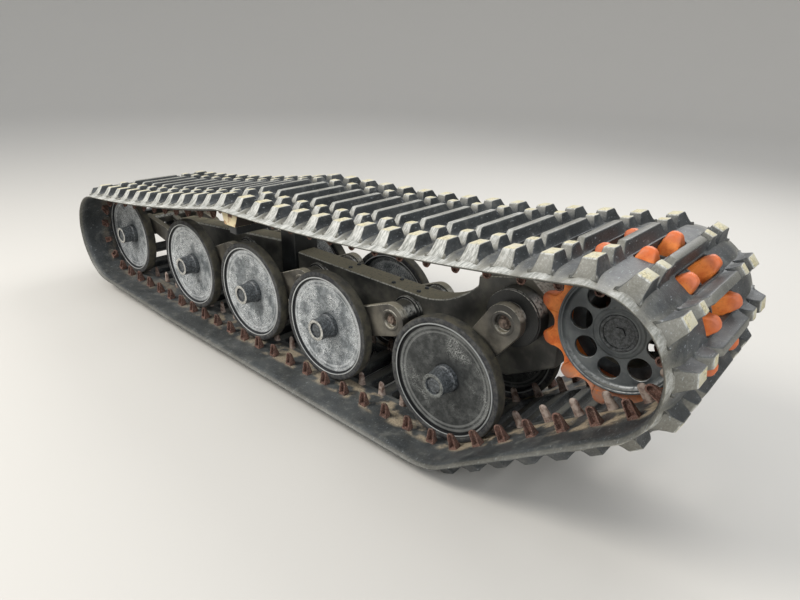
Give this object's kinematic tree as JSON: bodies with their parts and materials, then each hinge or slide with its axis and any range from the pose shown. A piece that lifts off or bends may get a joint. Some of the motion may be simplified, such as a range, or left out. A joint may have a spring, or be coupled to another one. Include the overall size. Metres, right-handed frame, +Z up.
{
  "type": "crawler track unit",
  "caption": "Right-hand track unit of a tracked carrier: rubber track with blocks and guide horns, twin rubber-tyred road wheels on trailing arms, side beam, toothed sprocket",
  "frame": {"origin": "on the ground, under the middle of the whole unit's box", "axes": "+X forward towards the sprocket, +Y inboard towards the vehicle, +Z up"},
  "size_m": [2.7172, 0.62, 0.7182],
  "materials": {
    "track_rubber": "dusty moulded rubber",
    "tyre_rubber": "dusty black rubber",
    "galvanised_steel": "galvanised sheet, worn",
    "black_paint": "satin black paint, dusty",
    "olive_paint": "satin grey-olive paint, dusty",
    "orange_plastic": "moulded wear-resistant plastic",
    "cream_plastic": "moulded wear pad",
    "bare_steel": "worn bare steel"
  },
  "bodies": {
    "root": {"clamp_collar": "black_paint", "cross_bar": "black_paint", "final_drive_case": "black_paint", "hub_cap": "black_paint", "idler_arms": "olive_paint", "idler_cross_tube": "black_paint", "idler_pivot_tube": "black_paint", "input_flange": "bare_steel", "side_beam_front": "black_paint", "side_beam_rear": "black_paint", "sprocket_disc": "black_paint", "sprocket_drum": "black_paint", "sprocket_hub": "black_paint", "sprocket_ring_inboard": "orange_plastic", "sprocket_ring_outboard": "orange_plastic", "stub_axles_inboard": "bare_steel", "stub_axles_outboard": "bare_steel", "tension_rod": "bare_steel", "torsion_tubes": "black_paint", "track_band": "track_rubber", "trailing_arms_inboard": "olive_paint", "trailing_arms_outboard": "olive_paint", "tyres_inboard": "tyre_rubber", "tyres_outboard": "tyre_rubber", "wear_pads": "cream_plastic", "wheel_discs_inboard": "galvanised_steel", "wheel_discs_outboard": "galvanised_steel"}
  },
  "joints": []
}
